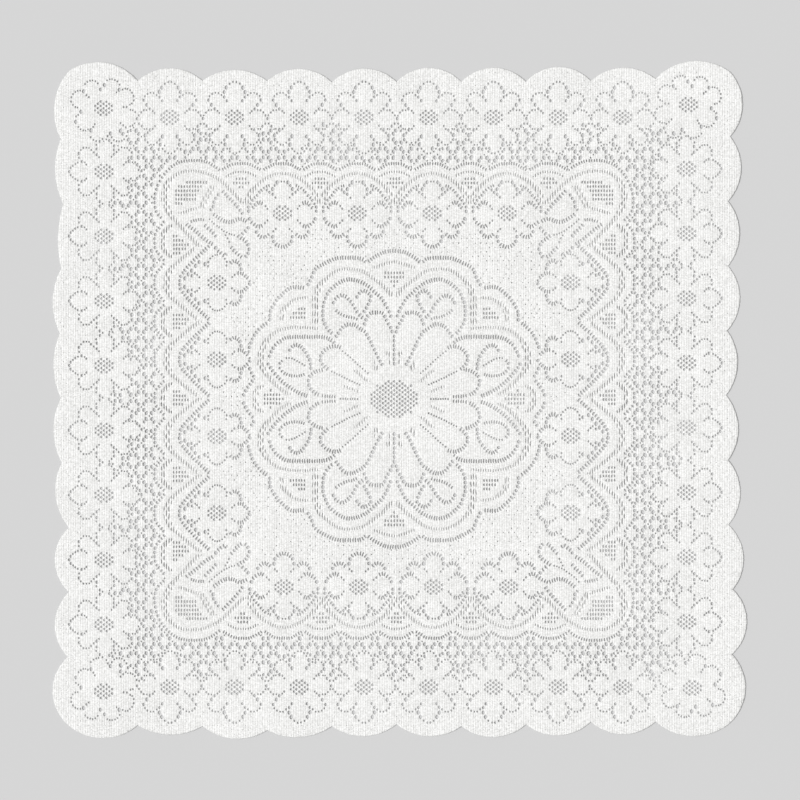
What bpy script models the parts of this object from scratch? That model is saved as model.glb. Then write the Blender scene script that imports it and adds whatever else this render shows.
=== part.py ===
# White lace table topper, knitted in one piece with a scalloped edge, lying flat.
# Lengths are in millimetres. X runs right, Y away from the front edge, Z up from the table.

import math

import bpy

MM = 0.001

# The knitted sheet
THICKNESS = 1.2
GAP_SIDES = 6
SCALLOP_POINTS = 10

# One border flower stands behind each scallop, ten to a side with the corners
FLOWERS_BETWEEN_CORNERS = 8
FLOWER_PITCH = 79.7

# Each side of the cloth: which way is out, how far out its row of flowers lies,
# how far the row's middle is shifted along the side, and how far out of the row
# its scallops reach at their crowns, the two corner ones too, and at the notches.
SIDES = {
    "back": {
        "turn": 0,
        "row": 349.3,
        "shift": -0.4,
        "crowns": (68.0, 60.5, 58.5, 59.7, 60.0, 61.0, 61.0, 62.2, 61.0, 69.4),
        "notches": (45.0, 45.0, 45.0, 43.0, 43.7, 43.7, 43.7, 45.0, 47.4),
    },
    "right": {
        "turn": -90,
        "row": 357.3,
        "shift": -7.0,
        "crowns": (67.8, 66.5, 64.5, 65.0, 62.0, 63.0, 65.5, 69.5, 73.5, 71.5),
        "notches": (53.0, 50.5, 50.5, 49.3, 48.0, 50.5, 51.0, 56.0, 55.4),
    },
    "front": {
        "turn": 180,
        "row": 352.4,
        "shift": 0.4,
        "crowns": (60.4, 58.0, 59.5, 61.5, 60.4, 60.4, 61.6, 63.5, 58.5, 62.8),
        "notches": (42.5, 42.5, 46.0, 48.0, 45.6, 48.0, 53.0, 48.0, 46.8),
    },
    "left": {
        "turn": 90,
        "row": 360.4,
        "shift": 3.7,
        "crowns": (63.4, 61.0, 61.0, 60.0, 62.5, 62.5, 63.5, 57.0, 60.5, 61.0),
        "notches": (45.0, 43.7, 43.7, 52.4, 53.6, 54.8, 53.0, 50.5, 53.6),
    },
}

# The corner flowers: where they stand, and how far and which way the corner reaches past them
CORNERS = (
    {"x": 358.5, "y": 363.4, "reach": 66.6, "heading": 39},
    {"x": 357.3, "y": -351.1, "reach": 70.0, "heading": -40},
    {"x": -360.4, "y": -356.0, "reach": 62.5, "heading": -139},
    {"x": -361.0, "y": 361.6, "reach": 62.3, "heading": 134},
)
CORNER_CROWN_ALONG = 7.0

# Open spots of a border flower's repeat, measured from the flower's middle:
# along the row, in towards the middle of the cloth, and the opening's width and height
BORDER_REPEAT = (
    {"name": "left of the inner petal", "along": -9.4, "inward": 23.4, "width": 4.9, "height": 5.6},
    {"name": "right of the inner petal", "along": 9.4, "inward": 23.4, "width": 4.9, "height": 5.6},
    {"name": "net between two flowers", "along": 39.8, "inward": 24.5, "width": 4.8, "height": 5.8},
    {"name": "net left of the petal tip", "along": -19.2, "inward": 44.0, "width": 4.6, "height": 5.5},
    {"name": "net right of the petal tip", "along": 19.2, "inward": 44.0, "width": 4.6, "height": 5.5},
)

# A corner flower has two openings beside its inner petal, and one in the net past its tip
CORNER_PETAL_INWARD = 18.7
CORNER_NET_INWARD = 33.0

# The frame of arcs holds four flowers a side
INNER_FLOWERS_A_SIDE = 4
INNER_FLOWERS = (
    {"side": "back", "row": 231.2, "middle": -2.3, "pitch": 92.2},
    {"side": "right", "row": 214.4, "middle": -4.3, "pitch": 94.6},
    {"side": "front", "row": 229.2, "middle": 0.5, "pitch": 92.2},
    {"side": "left", "row": 221.4, "middle": 2.8, "pitch": 94.6},
)
INNER_VALLEY_ALONG = 13.8
INNER_VALLEY_OUT = 28.3
INNER_OPENING_WIDTH = 4.8
INNER_OPENING_HEIGHT = 5.8

# The leaf spray in each corner of the frame, on both sides of the diagonal, measured from
# the frame's corner, which lies this far from the frame's own middle
FRAME_X = -3.1
FRAME_Y = 0.5
SPRAY_CORNER_X = 296.9
SPRAY_CORNER_Y = 295.5
SPRAY_OPENINGS = (
    {"name": "outer leaf, blunt end", "along_x": 76.0, "along_y": 53.5, "width": 4.6, "height": 5.6},
    {"name": "outer leaf, foot", "along_x": 112.5, "along_y": 66.5, "width": 4.8, "height": 6.0},
    {"name": "inner leaf, tip", "along_x": 111.0, "along_y": 84.0, "width": 4.6, "height": 5.6},
)

# The rosette in the middle, its largest gaps: how far from its centre they lie, how many
# degrees from the line that runs to the back of the cloth, and the gap's width and height.
# Each one has a mirror image to the left, to the front and to both.
ROSETTE_X = -3.1
ROSETTE_Y = 2.5
ROSETTE_GAPS = (
    {"name": "first petal, by the spoke", "reach": 97.8, "turn": 5.4, "width": 4.6, "height": 5.8},
    {"name": "between first two petals", "reach": 98.2, "turn": 21.7, "width": 4.6, "height": 6.2},
    {"name": "foot of the leaf pair", "reach": 109.1, "turn": 22.2, "width": 4.6, "height": 5.6},
    {"name": "blunt end of third petal", "reach": 104.8, "turn": 60.4, "width": 4.8, "height": 6.0},
    {"name": "between last two petals", "reach": 95.4, "turn": 64.8, "width": 4.8, "height": 5.8},
    {"name": "blunt end of last petal", "reach": 107.4, "turn": 78.8, "width": 4.6, "height": 6.6},
    {"name": "heart, by the middle line", "reach": 116.8, "turn": 4.5, "width": 4.6, "height": 5.6},
    {"name": "heart, long outer gap", "reach": 136.8, "turn": 40.1, "width": 4.3, "height": 9.5},
    {"name": "heart, foot", "reach": 119.9, "turn": 43.1, "width": 4.6, "height": 5.6},
    {"name": "side heart, outer end", "reach": 163.0, "turn": 71.5, "width": 4.4, "height": 6.0},
    {"name": "outline, upper lobe", "reach": 183.3, "turn": 32.5, "width": 4.8, "height": 5.6},
    {"name": "outline, small diagonal lobe", "reach": 188.5, "turn": 50.7, "width": 4.8, "height": 5.6},
    {"name": "outline, long gap", "reach": 184.8, "turn": 55.5, "width": 4.3, "height": 9.0},
    {"name": "outline, side lobe", "reach": 189.2, "turn": 66.2, "width": 4.8, "height": 5.6},
    {"name": "outline, side notch", "reach": 173.8, "turn": 81.4, "width": 4.8, "height": 5.6},
)

CLOTH_WHITE = (0.86, 0.86, 0.85, 1.0)


def turned(x, y, degrees):
    """The point turned about the middle of the cloth."""
    angle = math.radians(degrees)
    return (
        x * math.cos(angle) - y * math.sin(angle),
        x * math.sin(angle) + y * math.cos(angle),
    )


def flower_places(side):
    """Where the border flowers of a side stand along it, from its left end."""
    first = side["shift"] - FLOWER_PITCH * (FLOWERS_BETWEEN_CORNERS - 1) / 2
    return [first + FLOWER_PITCH * i for i in range(FLOWERS_BETWEEN_CORNERS)]


def arc_through(start, crown, end, count):
    """Points on the circle through three points, from start up to but not with end."""
    ax, ay = start
    bx, by = crown
    cx, cy = end
    d = 2 * (ax * (by - cy) + bx * (cy - ay) + cx * (ay - by))
    square_a, square_b, square_c = ax * ax + ay * ay, bx * bx + by * by, cx * cx + cy * cy
    middle_x = (square_a * (by - cy) + square_b * (cy - ay) + square_c * (ay - by)) / d
    middle_y = (square_a * (cx - bx) + square_b * (ax - cx) + square_c * (bx - ax)) / d
    radius = math.hypot(ax - middle_x, ay - middle_y)
    first = math.atan2(ay - middle_y, ax - middle_x)
    last = math.atan2(cy - middle_y, cx - middle_x)
    sweep = (last - first) % (2 * math.pi) - 2 * math.pi
    points = []
    for i in range(count):
        angle = first + sweep * i / count
        points.append((middle_x + radius * math.cos(angle), middle_y + radius * math.sin(angle)))
    return points


def side_marks(name):
    """The notches and crowns of one side, in order along it, as points on the cloth."""
    side = SIDES[name]
    marks = []
    for i in range(FLOWERS_BETWEEN_CORNERS + 1):
        notch = side["shift"] + FLOWER_PITCH * (i - FLOWERS_BETWEEN_CORNERS / 2)
        marks.append(turned(notch, side["row"] + side["notches"][i], side["turn"]))
        if i < FLOWERS_BETWEEN_CORNERS:
            crown = side["row"] + side["crowns"][i + 1]
            marks.append(turned(notch + FLOWER_PITCH / 2, crown, side["turn"]))
    return marks


def corner_crown(name, end):
    """The outermost point of a corner scallop on one side: end -1 is the side's left, 1 its right."""
    side = SIDES[name]
    half_row = FLOWER_PITCH * (FLOWERS_BETWEEN_CORNERS + 1) / 2
    along = side["shift"] + end * (half_row + CORNER_CROWN_ALONG)
    out = side["row"] + side["crowns"][0 if end < 0 else -1]
    return turned(along, out, side["turn"])


def edge_outline():
    """The scalloped edge, clockwise from the left end of the back."""
    names = ("back", "right", "front", "left")
    marks = {name: side_marks(name) for name in names}
    outline = []
    for i, name in enumerate(names):
        own = marks[name]
        for j in range(0, len(own) - 2, 2):
            outline += arc_through(own[j], own[j + 1], own[j + 2], SCALLOP_POINTS)
        corner = CORNERS[i]
        dx, dy = turned(corner["reach"], 0, corner["heading"])
        tip = (corner["x"] + dx, corner["y"] + dy)
        following = names[(i + 1) % len(names)]
        outline += arc_through(own[-1], corner_crown(name, 1), tip, SCALLOP_POINTS)
        outline += arc_through(tip, corner_crown(following, -1), marks[following][0], SCALLOP_POINTS)
    return outline


def opening(x, y, width, height, turn=0.0):
    """The rim of one gap in the lace, taller than wide unless it is turned."""
    rim = []
    for i in range(GAP_SIDES):
        angle = 2 * math.pi * i / GAP_SIDES + math.pi / 2
        dx, dy = turned(width / 2 * math.cos(angle), height / 2 * math.sin(angle), turn)
        rim.append((x + dx, y + dy))
    return rim


def border_openings():
    rims = []
    for side in SIDES.values():
        for place in flower_places(side):
            for spot in BORDER_REPEAT:
                x, y = turned(place + spot["along"], side["row"] - spot["inward"], side["turn"])
                rims.append(opening(x, y, spot["width"], spot["height"]))
    for corner in CORNERS:
        inward = math.copysign(1, -corner["x"]), math.copysign(1, -corner["y"])
        for spot in BORDER_REPEAT[:2]:
            x = corner["x"] + inward[0] * CORNER_PETAL_INWARD - inward[1] * spot["along"]
            y = corner["y"] + inward[1] * CORNER_PETAL_INWARD + inward[0] * spot["along"]
            rims.append(opening(x, y, spot["width"], spot["height"]))
        x = corner["x"] + inward[0] * CORNER_NET_INWARD
        y = corner["y"] + inward[1] * CORNER_NET_INWARD
        rims.append(opening(x, y, BORDER_REPEAT[2]["width"], BORDER_REPEAT[2]["height"]))
    return rims


def frame_openings():
    rims = []
    for row in INNER_FLOWERS:
        turn = SIDES[row["side"]]["turn"]
        for i in range(INNER_FLOWERS_A_SIDE):
            place = row["middle"] + (i - (INNER_FLOWERS_A_SIDE - 1) / 2) * row["pitch"]
            for along in (-INNER_VALLEY_ALONG, INNER_VALLEY_ALONG):
                x, y = turned(place + along, row["row"] + INNER_VALLEY_OUT, turn)
                rims.append(opening(x, y, INNER_OPENING_WIDTH, INNER_OPENING_HEIGHT))
    for corner in CORNERS:
        across = math.copysign(1, corner["x"])
        away = math.copysign(1, corner["y"])
        for spot in SPRAY_OPENINGS:
            for dx, dy in ((spot["along_x"], spot["along_y"]), (spot["along_y"], spot["along_x"])):
                x = FRAME_X + across * (SPRAY_CORNER_X - dx)
                y = FRAME_Y + away * (SPRAY_CORNER_Y - dy)
                rims.append(opening(x, y, spot["width"], spot["height"]))
    return rims


def rosette_openings():
    rims = []
    for gap in ROSETTE_GAPS:
        dx, dy = turned(0, gap["reach"], gap["turn"])
        for across in (-1, 1):
            for away in (-1, 1):
                x = ROSETTE_X + across * dx
                y = ROSETTE_Y + away * dy
                rims.append(opening(x, y, gap["width"], gap["height"]))
    return rims


def add_loop(curve, loop, middle):
    """One closed outline of the flat curve, measured from the middle of the cloth's box."""
    spline = curve.splines.new("POLY")
    spline.points.add(len(loop) - 1)
    for point, (x, y) in zip(spline.points, loop):
        point.co = ((x - middle[0]) * MM, (y - middle[1]) * MM, 0.0, 1.0)
    spline.use_cyclic_u = True


def sheet_curve(outline, rims):
    """The filled outline with every opening left out, as thick as the cloth."""
    middle = (
        (min(x for x, _ in outline) + max(x for x, _ in outline)) / 2,
        (min(y for _, y in outline) + max(y for _, y in outline)) / 2,
    )
    curve = bpy.data.curves.new("lace_cloth", "CURVE")
    curve.dimensions = "2D"
    curve.fill_mode = "BOTH"
    curve.extrude = THICKNESS * MM / 2
    for loop in [outline] + rims:
        add_loop(curve, loop, middle)
    return curve


def cloth_material():
    material = bpy.data.materials.new("white_lace")
    material.use_nodes = True
    shader = material.node_tree.nodes["Principled BSDF"]
    shader.inputs["Base Color"].default_value = CLOTH_WHITE
    shader.inputs["Roughness"].default_value = 0.9
    shader.inputs["Sheen Weight"].default_value = 0.3
    return material


for old in list(bpy.data.objects):
    bpy.data.objects.remove(old)

cloth_outline = edge_outline()
openings = border_openings() + frame_openings() + rosette_openings()
cloth = bpy.data.objects.new("lace_cloth", sheet_curve(cloth_outline, openings))
cloth.location.z = THICKNESS * MM / 2
cloth.data.materials.append(cloth_material())
collection = bpy.data.collections.new("lace_tablecloth")
bpy.context.scene.collection.children.link(collection)
collection.objects.link(cloth)
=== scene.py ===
# White lace table topper, knitted by machine in one piece and lying flat on a pale table.
# The pattern is laid out in millimetres from a point near the middle of the cloth. Where the sheet
# is made, it is moved to the outline's own middle and turned into metres. X runs right, Y to the
# back, Z up.

import math
import random

import bpy
import numpy as np
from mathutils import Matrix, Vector, kdtree
from mathutils.geometry import delaunay_2d_cdt


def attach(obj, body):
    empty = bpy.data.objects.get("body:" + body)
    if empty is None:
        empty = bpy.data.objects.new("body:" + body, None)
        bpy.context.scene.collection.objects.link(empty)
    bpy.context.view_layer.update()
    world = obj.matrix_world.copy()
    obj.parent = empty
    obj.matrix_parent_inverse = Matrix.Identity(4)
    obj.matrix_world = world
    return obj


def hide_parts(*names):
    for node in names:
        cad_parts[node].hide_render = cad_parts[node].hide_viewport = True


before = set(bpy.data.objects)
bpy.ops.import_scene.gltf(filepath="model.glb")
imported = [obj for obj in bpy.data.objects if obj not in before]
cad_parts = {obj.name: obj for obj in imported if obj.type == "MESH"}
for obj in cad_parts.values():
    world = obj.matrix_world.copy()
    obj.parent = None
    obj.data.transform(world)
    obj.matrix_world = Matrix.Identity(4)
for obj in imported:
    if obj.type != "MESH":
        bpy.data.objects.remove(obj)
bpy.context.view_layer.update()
MM = 0.001


# The scalloped edge. The photo shows no hem, and the edge of such lace is usually cut between
# stitches and sealed by heat. Each scallop is one plain arc behind a border flower, and each
# corner is two.

FLOWERS_BETWEEN_CORNERS = 8
FLOWER_PITCH = 79.7
SCALLOP_POINTS = 40
# How far the cut edge strays to either side of its line
EDGE_ROUGHNESS = 0.22

# Each side: which way is out in degrees, how far out its row of flowers lies, how far the row's
# middle is shifted along the side, and how far out of the row the crowns and notches of the
# scallops reach. The first and the last crown are those of the corners' scallops.
SIDES = {
    "back": {
        "turn": 0,
        "row": 349.3,
        "shift": -0.4,
        "crowns": (68.0, 60.5, 58.5, 59.7, 60.0, 61.0, 61.0, 62.2, 61.0, 69.4),
        "notches": (45.0, 45.0, 45.0, 43.0, 43.7, 43.7, 43.7, 45.0, 47.4),
    },
    "right": {
        "turn": -90,
        "row": 357.3,
        "shift": -7.0,
        "crowns": (67.8, 66.5, 64.5, 65.0, 62.0, 63.0, 65.5, 69.5, 73.5, 71.5),
        "notches": (53.0, 50.5, 50.5, 49.3, 48.0, 50.5, 51.0, 56.0, 55.4),
    },
    "front": {
        "turn": 180,
        "row": 352.4,
        "shift": 0.4,
        "crowns": (60.4, 58.0, 59.5, 61.5, 60.4, 60.4, 61.6, 63.5, 58.5, 62.8),
        "notches": (42.5, 42.5, 46.0, 48.0, 45.6, 48.0, 53.0, 48.0, 46.8),
    },
    "left": {
        "turn": 90,
        "row": 360.4,
        "shift": 3.7,
        "crowns": (63.4, 61.0, 61.0, 60.0, 62.5, 62.5, 63.5, 57.0, 60.5, 61.0),
        "notches": (45.0, 43.7, 43.7, 52.4, 53.6, 54.8, 53.0, 50.5, 53.6),
    },
}
SIDE_ORDER = ("back", "right", "front", "left")

# The corners: a point near the middle of the corner's flower, how far from it and in which
# direction the tip between the corner's two scallops lies, and the middle of the flower itself
CORNERS = (
    {"x": 358.5, "y": 363.4, "reach": 66.6, "heading": 39, "flower": (359.5, 364.9)},
    {"x": 357.3, "y": -351.1, "reach": 70.0, "heading": -40, "flower": (364.3, -353.6)},
    {"x": -360.4, "y": -356.0, "reach": 62.5, "heading": -139, "flower": (-360.9, -357.5)},
    {"x": -361.0, "y": 361.6, "reach": 62.3, "heading": 134, "flower": (-361.0, 360.6)},
)
# How far past the corner's flower, along the side, a corner scallop has its crown
CORNER_CROWN_ALONG = 7.0
KNIT_SEED = 36

chance = random.Random(KNIT_SEED)


def turned(x, y, degrees):
    """The point turned about the middle of the cloth."""
    angle = math.radians(degrees)
    return (
        x * math.cos(angle) - y * math.sin(angle),
        x * math.sin(angle) + y * math.cos(angle),
    )


def arc_through(start, crown, end, count):
    """Points on the circle through three points, clockwise, from start up to but not with end."""
    (ax, ay), (bx, by), (cx, cy) = start, crown, end
    d = 2 * (ax * (by - cy) + bx * (cy - ay) + cx * (ay - by))
    square_a, square_b, square_c = ax * ax + ay * ay, bx * bx + by * by, cx * cx + cy * cy
    middle_x = (square_a * (by - cy) + square_b * (cy - ay) + square_c * (ay - by)) / d
    middle_y = (square_a * (cx - bx) + square_b * (ax - cx) + square_c * (bx - ax)) / d
    radius = math.hypot(ax - middle_x, ay - middle_y)
    first = math.atan2(ay - middle_y, ax - middle_x)
    sweep = (math.atan2(cy - middle_y, cx - middle_x) - first) % (2 * math.pi) - 2 * math.pi
    points = []
    for i in range(count):
        angle = first + sweep * i / count
        reach = radius + chance.uniform(-EDGE_ROUGHNESS, EDGE_ROUGHNESS)
        points.append((middle_x + reach * math.cos(angle), middle_y + reach * math.sin(angle)))
    return points


def side_marks(name):
    """The notches and crowns of one side, in order along it, as points on the cloth."""
    side = SIDES[name]
    marks = []
    for i in range(FLOWERS_BETWEEN_CORNERS + 1):
        notch = side["shift"] + FLOWER_PITCH * (i - FLOWERS_BETWEEN_CORNERS / 2)
        marks.append(turned(notch, side["row"] + side["notches"][i], side["turn"]))
        if i < FLOWERS_BETWEEN_CORNERS:
            crown = side["row"] + side["crowns"][i + 1]
            marks.append(turned(notch + FLOWER_PITCH / 2, crown, side["turn"]))
    return marks


def corner_crown(name, end):
    """The outermost point of a corner scallop on one side: end -1 is the side's left, 1 its right."""
    side = SIDES[name]
    half_row = FLOWER_PITCH * (FLOWERS_BETWEEN_CORNERS + 1) / 2
    along = side["shift"] + end * (half_row + CORNER_CROWN_ALONG)
    out = side["row"] + side["crowns"][0 if end < 0 else -1]
    return turned(along, out, side["turn"])


edge = []
for i, name in enumerate(SIDE_ORDER):
    marks = side_marks(name)
    for j in range(0, len(marks) - 2, 2):
        edge += arc_through(marks[j], marks[j + 1], marks[j + 2], SCALLOP_POINTS)
    corner = CORNERS[i]
    dx, dy = turned(corner["reach"], 0, corner["heading"])
    tip = (corner["x"] + dx, corner["y"] + dy)
    following = SIDE_ORDER[(i + 1) % len(SIDE_ORDER)]
    edge += arc_through(marks[-1], corner_crown(name, 1), tip, SCALLOP_POINTS // 2)
    edge += arc_through(tip, corner_crown(following, -1), side_marks(following)[0], SCALLOP_POINTS // 2)
edge_x, edge_y = np.array(edge).T
EDGE_MIDDLE = ((edge_x.min() + edge_x.max()) / 2, (edge_y.min() + edge_y.max()) / 2)


# The gaps of the knit. Lace is drawn by gaps in rows: a row has one gap for each wale that it
# crosses, or for each repeat of courses where it climbs, and each gap stands across its row.

# How far apart the wales and the repeats of courses are, and the least knit between two gaps
WALE = 3.05
COURSE = 5.4
STRAND = 0.6
# How wide the squares are in which a gap's neighbours are looked up
CELL = 8.0
# How uneven the knitting is: in a gap's place, in its size, and in its turn in radians
PLACE_JITTER = 0.2
SIZE_JITTER = 0.08
TURN_JITTER = 0.12
# How many corners the rim of a large gap, of a small one and of a speck has
LARGE_SIDES = 8
SMALL_SIDES = 6
SPECK_SIDES = 4
# The least share of its size that a gap keeps between its neighbours, or else it is left out: in
# general, and for a gap of a chart, of a disc, of a see-through band, of the net, and for a speck
LEAST = 0.6
CHART_LEAST = 0.45
DISC_LEAST = 0.4
SLIT_LEAST = 0.5
NET_LEAST = 0.42
SPECK_LEAST = 0.9
# A smooth line's steps: how long one is, and the fewest between two given points
LINE_STEP = 0.4
FEWEST_STEPS = 4
# How sharply a row changes from its level kind of gap to its climbing one
CLIMB_POWER = 4
# A gap's sizes along and across its row, on a stretch that runs level and on one that climbs,
# and how far it is there to the next gap
GAP_KINDS = {
    "slot": {"level": (1.8, 5.5), "climbing": (4.6, 4.6), "pitch": (WALE, COURSE), "sides": 8},
    "fine slot": {"level": (1.8, 4.2), "climbing": (4.1, 4.1), "pitch": (WALE, COURSE), "sides": 8},
    "pin": {"level": (2.1, 2.7), "climbing": (3.1, 2.7), "pitch": (WALE, 4.9), "sides": 6},
    "pinhole": {"level": (2.0, 2.6), "climbing": (2.7, 2.4), "pitch": (WALE, 4.3), "sides": 6},
    "round": {"level": (2.2, 3.6), "climbing": (4.7, 4.5), "pitch": (WALE, COURSE), "sides": 8},
    "ladder": {"level": (2.2, 3.6), "climbing": (4.9, 3.6), "pitch": (WALE, COURSE), "sides": 8},
}
# A gap that stands alone: its width and height
SINGLE_GAPS = {"hole": (4.0, 5.2), "round": (3.2, 3.9), "pin": (2.4, 2.8), "pinhole": (2.0, 2.3)}

gaps = []
gap_cells = {}


def reach_towards(gap, dx, dy):
    """How far a gap's rim lies from its middle in a direction."""
    angle = math.atan2(dy, dx) - gap["turn"]
    return 1 / math.hypot(math.cos(angle) / (gap["along"] / 2), math.sin(angle) / (gap["across"] / 2))


def neighbours(x, y):
    """The gaps in the nine cells of the cloth around a point."""
    column, line = math.floor(x / CELL), math.floor(y / CELL)
    found = []
    for i in (column - 1, column, column + 1):
        for j in (line - 1, line, line + 1):
            found += gap_cells.get((i, j), [])
    return found


def add_gap(x, y, along, across, turn=0.0, sides=SMALL_SIDES, least=LEAST):
    """Opens one gap, made smaller where it would leave too thin a strand, or left out."""
    share = 1 + chance.uniform(-SIZE_JITTER, SIZE_JITTER)
    gap = {
        "x": x + chance.uniform(-PLACE_JITTER, PLACE_JITTER),
        "y": y + chance.uniform(-PLACE_JITTER, PLACE_JITTER),
        "along": along * share,
        "across": across * share,
        "turn": turn + chance.uniform(-TURN_JITTER, TURN_JITTER),
        "sides": sides,
    }
    fit = 1.0
    for other in neighbours(gap["x"], gap["y"]):
        dx, dy = other["x"] - gap["x"], other["y"] - gap["y"]
        room = math.hypot(dx, dy) - reach_towards(other, -dx, -dy) - STRAND
        fit = min(fit, room / reach_towards(gap, dx, dy))
    if fit < least:
        return
    gap["along"] *= fit
    gap["across"] *= fit
    gaps.append(gap)
    cell = math.floor(gap["x"] / CELL), math.floor(gap["y"] / CELL)
    gap_cells.setdefault(cell, []).append(gap)


def smooth_line(points):
    """Points close together on a smooth line through the given ones."""
    knots = [Vector(p) for p in points]
    knots = [2 * knots[0] - knots[1]] + knots + [2 * knots[-1] - knots[-2]]
    line = []
    for a, b, c, d in zip(knots, knots[1:], knots[2:], knots[3:]):
        steps = max(FEWEST_STEPS, int((c - b).length / LINE_STEP))
        for i in range(steps):
            t = i / steps
            line.append(
                0.5 * (2 * b + (c - a) * t + (2 * a - 5 * b + 4 * c - d) * t**2)
                + 0.5 * (3 * b - a - 3 * c + d) * t**3
            )
    line.append(knots[-2])
    return line


def knit_length(step, pitch):
    """How many gaps a short stretch of a row is long."""
    level, climbing = abs(step.x) / pitch[0], abs(step.y) / pitch[1]
    return (level**CLIMB_POWER + climbing**CLIMB_POWER) ** (1 / CLIMB_POWER)


def row_of_gaps(points, kind):
    """A row of gaps along the smooth line through the points."""
    line = smooth_line(points)
    style = GAP_KINDS[kind]
    total = sum(knit_length(b - a, style["pitch"]) for a, b in zip(line, line[1:]))
    count = max(1, round(total))
    spacing = total / count
    travelled, wanted = 0.0, spacing / 2
    for a, b in zip(line, line[1:]):
        step = b - a
        travelled += knit_length(step, style["pitch"])
        if travelled < wanted or step.length == 0:
            continue
        wanted += spacing
        climb = (step.y / step.length) ** CLIMB_POWER
        along = style["level"][0] * (1 - climb) + style["climbing"][0] * climb
        across = style["level"][1] * (1 - climb) + style["climbing"][1] * climb
        add_gap(b.x, b.y, along, across, math.atan2(step.y, step.x), style["sides"])


# A see-through band: how far apart its slits are, how wide one is in a band's level stretches and
# in the middle of its upright ones, what share of the band that middle is and how tall a stretch
# has to be to count as upright, how much knit stands between two slits in a wale, how short a
# slit may be, and how far a wide and a narrow band reach to the side and up from their line
SHEER_PITCH = (WALE, 9.0)
SHEER_SLIT = 0.55
UPRIGHT_SLIT = 0.8
UPRIGHT_MIDDLE = 0.5
UPRIGHT_SPAN = 20.0
SHEER_STRAND = 0.8
SHORTEST_SLIT = 1.6
WIDE_BAND = (4.4, 2.9)
NARROW_BAND = (2.4, 2.2)


def sheer_band(points, reach=WIDE_BAND, slit=SHEER_SLIT):
    """A see-through band: in every wale that it crosses, slits one above the other."""
    spans = {}
    for point in smooth_line(points):
        first = math.ceil((point.x - reach[0]) / SHEER_PITCH[0])
        last = math.floor((point.x + reach[0]) / SHEER_PITCH[0])
        for k in range(first, last + 1):
            share = (k * SHEER_PITCH[0] - point.x) / reach[0]
            up = reach[1] * math.sqrt(max(0.0, 1 - share * share))
            central = abs(share) < UPRIGHT_MIDDLE
            spans.setdefault(k, []).append((point.y - up, point.y + up, central))
    for k, found in spans.items():
        merged = []
        for low, high, central in sorted(found):
            if merged and low <= merged[-1][1]:
                merged[-1][1] = max(merged[-1][1], high)
                merged[-1][2] = merged[-1][2] or central
            else:
                merged.append([low, high, central])
        for low, high, central in merged:
            count = max(1, round((high - low) / SHEER_PITCH[1]))
            tall = (high - low) / count - SHEER_STRAND
            if tall < SHORTEST_SLIT:
                continue
            wide = max(slit, UPRIGHT_SLIT) if central and high - low > UPRIGHT_SPAN else slit
            for i in range(count):
                y = low + (i + 0.5) * (high - low) / count
                add_gap(k * SHEER_PITCH[0], y, wide, tall, least=SLIT_LEAST)


def inside(outline, x, y):
    """Whether a point lies inside a closed outline."""
    odd = False
    for (ax, ay), (bx, by) in zip(outline, outline[1:] + outline[:1]):
        if (ay > y) != (by > y) and x < ax + (bx - ax) * (y - ay) / (by - ay):
            odd = not odd
    return odd


# A patch of mesh: how far apart its gaps are across and along the cloth, and how large one is
MESH_PITCH = (3.5, 5.2)
MESH_GAP = (2.2, 3.7)


def mesh_patch(outline):
    """Small gaps in straight rows and columns, filling an outline."""
    left, right = min(x for x, _ in outline), max(x for x, _ in outline)
    low, high = min(y for _, y in outline), max(y for _, y in outline)
    columns = round((right - left) / MESH_PITCH[0])
    lines = round((high - low) / MESH_PITCH[1])
    for j in range(lines):
        for i in range(columns):
            x = left + (i + 0.5) * (right - left) / columns
            y = high - (j + 0.5) * (high - low) / lines
            if inside(outline, x, y):
                add_gap(x, y, *MESH_GAP)


# The flowers. A flower is plain dense knitting with eight petals: rows of pinholes round each
# petal and between two petals, larger holes where petals part, and a disc of staggered pinholes
# in the middle. The charts give the gaps from the flower's middle, for the part that is mirrored.

PETALS = 8
# A disc: how far apart its pinholes are in a line and its lines are, how large a pinhole is, and
# half the width and height of a flower's disc
DISC_PITCH = 6.9
DISC_LINE = 2.7
DISC_PIN = (3.1, 3.3)
DISC_SIZE = (12.2, 9.0)

# A border flower on a level side: towards the edge (away above 0) and towards the net (below 0)
LEVEL_FLOWER = (
    {
        "name": "edge side", "kind": "pin",
        "across": (1.9, 6.3, 16.3, 27.6, 30.8, 21.0, 18.8, 32.0, 35.2, 38.2),
        "away": (43.7, 41.4, 27.4, 28.9, 26.1, 7.9, 5.4, 8.7, 6.0, 2.4),
    },
    {
        "name": "edge side", "kind": "pinhole",
        "across": (20.1, 23.8, 28.6), "away": (30.1, 30.3, 8.9),
    },
    {
        "name": "edge side", "kind": "hole",
        "across": (10.1, 12.9, 28.3), "away": (36.7, 31.3, 15.4),
    },
    {
        "name": "edge side", "kind": "round",
        "across": (12.7, 9.4, 32.3, 24.6, 40.6), "away": (25.1, 20.5, 21.3, 10.4, -1.4),
    },
    {
        "name": "net side", "kind": "pin",
        "across": (18.4, 20.8, 37.8, 27.3, 16.1, 8.9, 6.0),
        "away": (-10.6, -14.2, -7.8, -30.6, -31.0, -38.4, -42.0),
    },
    {
        "name": "net side", "kind": "pinhole",
        "across": (28.9, 31.6, 23.4, 19.9, 2.0), "away": (-14.3, -14.4, -33.6, -33.8, -44.2),
    },
    {
        "name": "net side", "kind": "hole",
        "across": (24.2, 30.5, 9.1, 11.6), "away": (-15.4, -22.2, -23.4, -33.4),
    },
    {
        "name": "net side", "kind": "round",
        "across": (34.2, 27.4, 30.1, 12.4, 13.6), "away": (-10.8, -19.2, -27.6, -27.6, -39.5),
    },
)
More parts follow.
